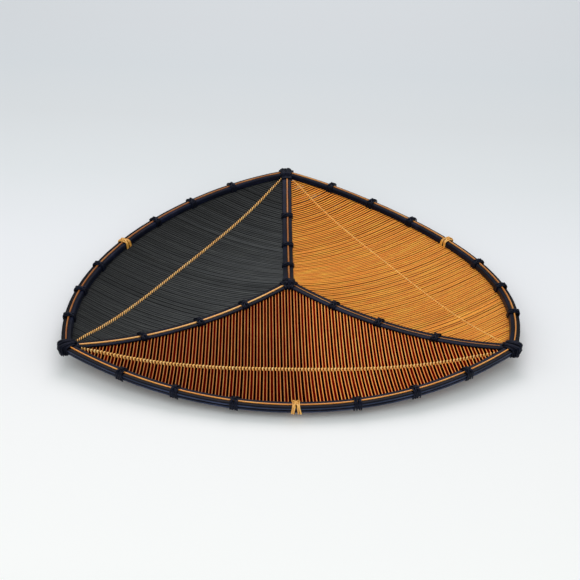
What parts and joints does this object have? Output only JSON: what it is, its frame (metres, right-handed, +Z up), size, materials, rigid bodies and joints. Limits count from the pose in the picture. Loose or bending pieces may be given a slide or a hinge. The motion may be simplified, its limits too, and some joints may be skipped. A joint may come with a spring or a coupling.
{
  "type": "basket",
  "caption": "Shallow rounded-triangle bamboo tray: bowed hoop rims and sagging ribs meet at a raised hub, with troughs of fine parallel strips between them, bound with rattan.",
  "frame": {"origin": "middle of the tray in plan, on the surface it rests on", "axes": "+Z up, -Y towards the front rim, +X to the right seen from the front"},
  "size_m": [0.534, 0.5458, 0.0329],
  "materials": {
    "black_bamboo": "smoked bamboo with a black lacquer, satin",
    "black_rattan": "black lacquered rattan peel, satin",
    "natural_bamboo": "aged natural rattan peel, satin",
    "natural_rattan": "pale natural rattan peel, satin",
    "mixed_strips": "fine bamboo strips, natural, dark red and black in turn, satin",
    "natural_strips": "fine natural bamboo strips, satin",
    "black_strips": "fine smoked bamboo strips, satin"
  },
  "bodies": {
    "root": {"front_panel_left": "mixed_strips", "front_panel_right": "mixed_strips", "front_twine": "natural_rattan", "front_rim_inner_hoop": "black_bamboo", "front_rim_outer_hoop": "black_bamboo", "front_rim_cap": "natural_bamboo", "left_rib_cap": "natural_bamboo", "left_rib_front_flank": "black_bamboo", "left_rib_left_flank": "black_bamboo", "front_rim_tie_1": "black_rattan", "front_rim_tie_2": "black_rattan", "front_rim_tie_3": "black_rattan", "front_rim_tie_4": "natural_rattan", "front_rim_tie_5": "black_rattan", "front_rim_tie_6": "black_rattan", "front_rim_tie_7": "black_rattan", "left_rib_tie_1": "black_rattan", "left_rib_tie_2": "black_rattan", "left_rib_tie_3": "black_rattan", "left_corner_knot": "black_rattan", "right_panel_front": "natural_strips", "right_panel_back": "natural_strips", "right_twine": "natural_rattan", "right_rim_inner_hoop": "black_bamboo", "right_rim_outer_hoop": "black_bamboo", "right_rim_cap": "natural_bamboo", "right_rib_cap": "natural_bamboo", "right_rib_right_flank": "black_bamboo", "right_rib_front_flank": "black_bamboo", "right_rim_tie_1": "black_rattan", "right_rim_tie_2": "black_rattan", "right_rim_tie_3": "black_rattan", "right_rim_tie_4": "natural_rattan", "right_rim_tie_5": "black_rattan", "right_rim_tie_6": "black_rattan", "right_rim_tie_7": "black_rattan", "right_rib_tie_1": "black_rattan", "right_rib_tie_2": "black_rattan", "right_rib_tie_3": "black_rattan", "right_corner_knot": "black_rattan", "left_panel": "black_strips", "left_twine": "natural_rattan", "left_rim_inner_hoop": "black_bamboo", "left_rim_outer_hoop": "black_bamboo", "left_rim_cap": "natural_bamboo", "back_rib_cap": "natural_bamboo", "back_rib_left_flank": "black_bamboo", "back_rib_right_flank": "black_bamboo", "left_rim_tie_1": "black_rattan", "left_rim_tie_2": "black_rattan", "left_rim_tie_3": "black_rattan", "left_rim_tie_4": "natural_rattan", "left_rim_tie_5": "black_rattan", "left_rim_tie_6": "black_rattan", "left_rim_tie_7": "black_rattan", "back_rib_tie_1": "black_rattan", "back_rib_tie_2": "black_rattan", "back_rib_tie_3": "black_rattan", "back_corner_knot": "black_rattan", "hub_knot": "black_rattan"}
  },
  "joints": []
}
